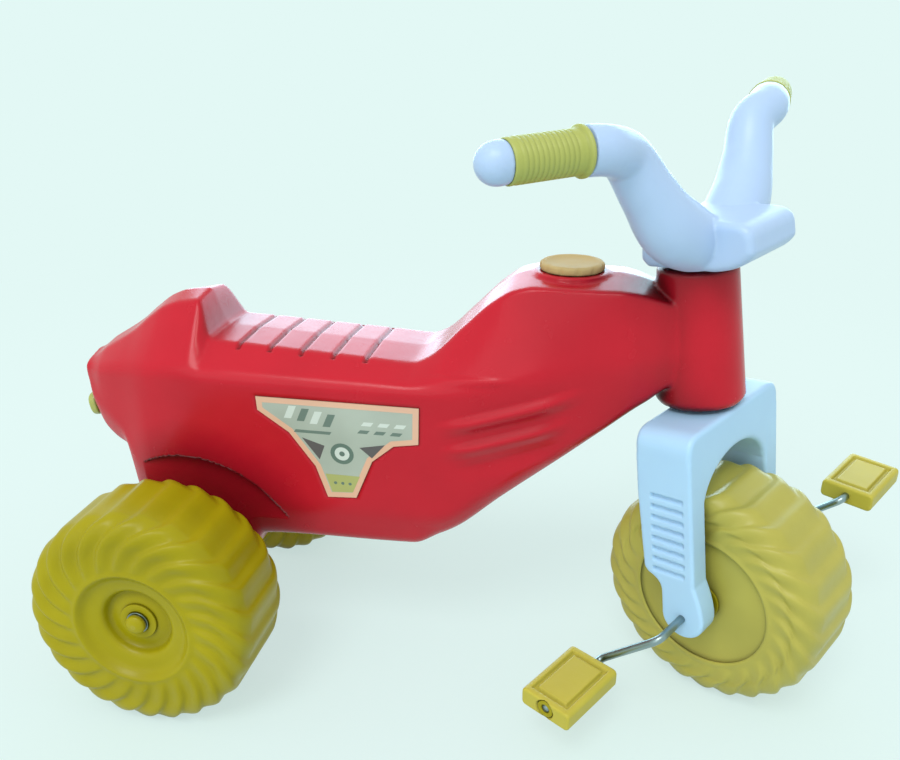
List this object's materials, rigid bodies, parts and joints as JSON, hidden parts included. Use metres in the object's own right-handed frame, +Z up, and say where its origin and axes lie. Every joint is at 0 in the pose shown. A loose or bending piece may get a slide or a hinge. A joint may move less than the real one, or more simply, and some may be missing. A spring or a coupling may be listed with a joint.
{
  "type": "children's tricycle",
  "caption": "Moulded plastic ride-on tricycle in motorcycle style, with a swivelling fork and handlebar, pedals on the front wheel and free rear wheels.",
  "frame": {"origin": "middle of the underside of the bounding box, on the floor", "axes": "+X forward along the tricycle, +Y to the rider's left, +Z up"},
  "size_m": [0.8034, 0.4014, 0.5409],
  "materials": {
    "red_plastic": "smooth blow-moulded polyethylene, slightly glossy",
    "blue_plastic": "smooth moulded polyethylene, satin",
    "lime_plastic": "blow-moulded polyethylene, satin",
    "grip_plastic": "soft matt grip sleeve",
    "lamp_plastic": "smooth moulded plug-in lamp",
    "dark_plastic": "moulded nylon bush",
    "steel": "zinc-plated rod and fasteners",
    "label_film": null
  },
  "bodies": {
    "frame": {"body_shell": "red_plastic", "fuel_cap": "lime_plastic", "tail_lamp": "lamp_plastic", "label_right": "label_film", "label_left": "label_film", "rear_axle": "steel", "steering_bush_upper": "dark_plastic", "steering_bush_lower": "dark_plastic", "axle_spacer_right": "dark_plastic", "axle_washer_right": "steel", "axle_cap_right": "lime_plastic", "axle_spacer_left": "dark_plastic", "axle_washer_left": "steel", "axle_cap_left": "lime_plastic"},
    "steering": {"fork": "blue_plastic", "handlebar": "blue_plastic", "steering_bolt": "steel", "steering_washer": "steel", "steering_nut": "steel", "grip_right": "grip_plastic", "grip_left": "grip_plastic", "fork_bush_right": "dark_plastic", "fork_bush_left": "dark_plastic"},
    "crank": {"front_wheel": "lime_plastic", "crank_rod": "steel", "drive_hub_right": "dark_plastic", "front_spacer_right": "dark_plastic", "pedal_retainer_right": "dark_plastic", "drive_hub_left": "dark_plastic", "front_spacer_left": "dark_plastic", "pedal_retainer_left": "dark_plastic"},
    "right_pedal": {"pedal_right": "lime_plastic"},
    "left_pedal": {"pedal_left": "lime_plastic"},
    "right_rear_wheel": {"rear_wheel_right": "lime_plastic", "hub_bush_outer_right": "dark_plastic", "hub_bush_inner_right": "dark_plastic"},
    "left_rear_wheel": {"rear_wheel_left": "lime_plastic", "hub_bush_outer_left": "dark_plastic", "hub_bush_inner_left": "dark_plastic"}
  },
  "joints": [
    {"name": "steer", "type": "hinge", "parent": "frame", "child": "steering", "pos_m": [0.20924, -0.00775, 0.1041], "axis": [-0.1058, 0, 0.9944], "range_deg": [-13.3, 76.7]},
    {"name": "front_wheel_spin", "type": "hinge", "parent": "steering", "child": "crank", "pos_m": [0.22928, -0.0202, 0.10642], "axis": [0.5223, 0.851, 0.0556], "continuous": true},
    {"name": "right_pedal_spin", "type": "hinge", "parent": "crank", "child": "right_pedal", "pos_m": [0.18585, 0.00928, 0.06319], "axis": [0.5223, 0.851, 0.0556], "continuous": true},
    {"name": "left_pedal_spin", "type": "hinge", "parent": "crank", "child": "left_pedal", "pos_m": [0.2727, -0.04967, 0.14965], "axis": [0.5223, 0.851, 0.0556], "continuous": true},
    {"name": "right_rear_spin", "type": "hinge", "parent": "frame", "child": "right_rear_wheel", "pos_m": [-0.27776, -0.00775, 0.1041], "axis": [0, 1, 0], "continuous": true},
    {"name": "left_rear_spin", "type": "hinge", "parent": "frame", "child": "left_rear_wheel", "pos_m": [-0.27776, -0.00775, 0.1041], "axis": [0, 1, 0], "continuous": true}
  ]
}
